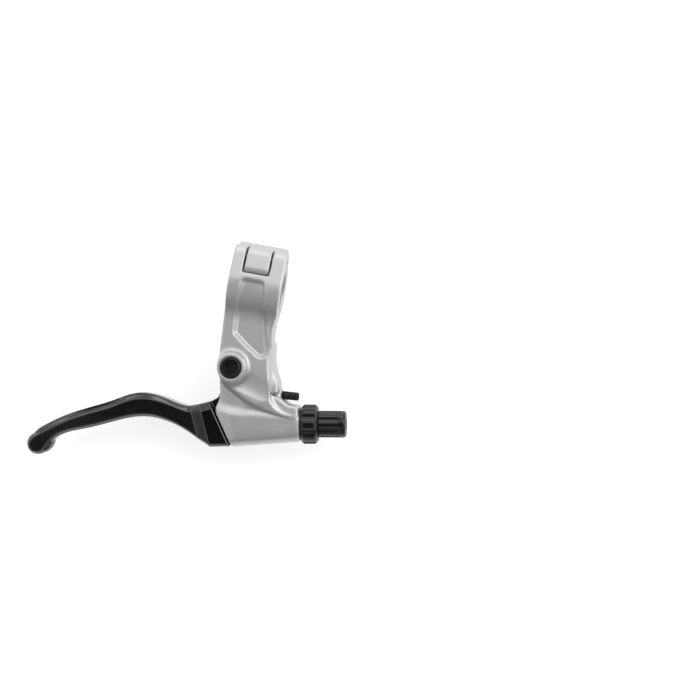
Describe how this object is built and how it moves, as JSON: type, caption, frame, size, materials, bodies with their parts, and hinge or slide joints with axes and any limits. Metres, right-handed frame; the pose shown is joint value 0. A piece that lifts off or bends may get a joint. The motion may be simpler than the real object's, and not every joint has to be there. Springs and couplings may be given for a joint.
{
  "type": "bicycle brake lever",
  "caption": "Bicycle brake lever with a hinged handlebar clamp, a satin alloy body, a black curved lever blade and a slotted cable adjuster.",
  "frame": {"origin": "centre of the bar clamp's bore", "axes": "+X along the handlebar towards its middle, +Y from the lever to the bar, +Z out of the lever's upper face"},
  "size_m": [0.1394, 0.1099, 0.032],
  "materials": {
    "satin_alloy": "bead-blasted silver anodised alloy",
    "black_lever": "gloss black anodised alloy",
    "black_alloy": "satin black anodised alloy",
    "black_steel": "black oxide",
    "zinc_steel": "zinc plated",
    "spring_steel": "drawn wire",
    "bronze": "sintered"
  },
  "bodies": {
    "body": {"lever_body": "satin_alloy", "clamp_hinge_pin": "zinc_steel", "pivot_bolt": "black_steel", "pivot_nut": "black_steel", "return_spring": "spring_steel"},
    "lever": {"lever_blade": "black_lever", "pivot_bush_front": "bronze", "pivot_bush_rear": "bronze"},
    "anchor": {"cable_anchor": "zinc_steel"},
    "band": {"clamp_band": "satin_alloy"},
    "clamp_screw": {"clamp_bolt": "black_steel", "clamp_bolt_washer": "zinc_steel"},
    "reach": {"reach_screw": "black_steel"},
    "locknut": {"adjuster_locknut": "black_alloy"},
    "adjuster": {"barrel_adjuster": "black_alloy"}
  },
  "joints": [
    {"name": "lever_pivot", "type": "hinge", "parent": "body", "child": "lever", "pos_m": [-0.00325, -0.0365, 0], "axis": [0, 0, -1], "range_deg": [0, 36], "stiffness_Nm_per_rad": 0.06, "springref_deg": -28.65, "deforming": ["return_spring"]},
    {"name": "anchor_swivel", "type": "hinge", "parent": "lever", "child": "anchor", "pos_m": [0.00322, -0.06076, 0], "axis": [0, 0, 1], "range_deg": [0, 36]},
    {"name": "clamp_hinge", "type": "hinge", "parent": "body", "child": "band", "pos_m": [0, 0.012, 0.0088], "axis": [1, 0, 0], "range_deg": [0, 4]},
    {"name": "clamp_screw_slide", "type": "slide", "parent": "body", "child": "clamp_screw", "axis": [0, 0, -1], "range_m": [0, 0.0026]},
    {"name": "reach_slide", "type": "slide", "parent": "body", "child": "reach", "axis": [0.9959, 0.0906, 0], "range_m": [0, 0.005]},
    {"name": "locknut_spin", "type": "hinge", "parent": "body", "child": "locknut", "pos_m": [0.03025, -0.0557, 0], "axis": [0.9829, 0.184, 0], "continuous": true},
    {"name": "adjuster_slide", "type": "slide", "parent": "body", "child": "adjuster", "axis": [0.9829, 0.184, 0], "range_m": [0, 0.006]}
  ],
  "couplings": [
    {"joint": "clamp_screw_slide", "follows": "clamp_hinge", "m_per_rad": 0.034}
  ]
}
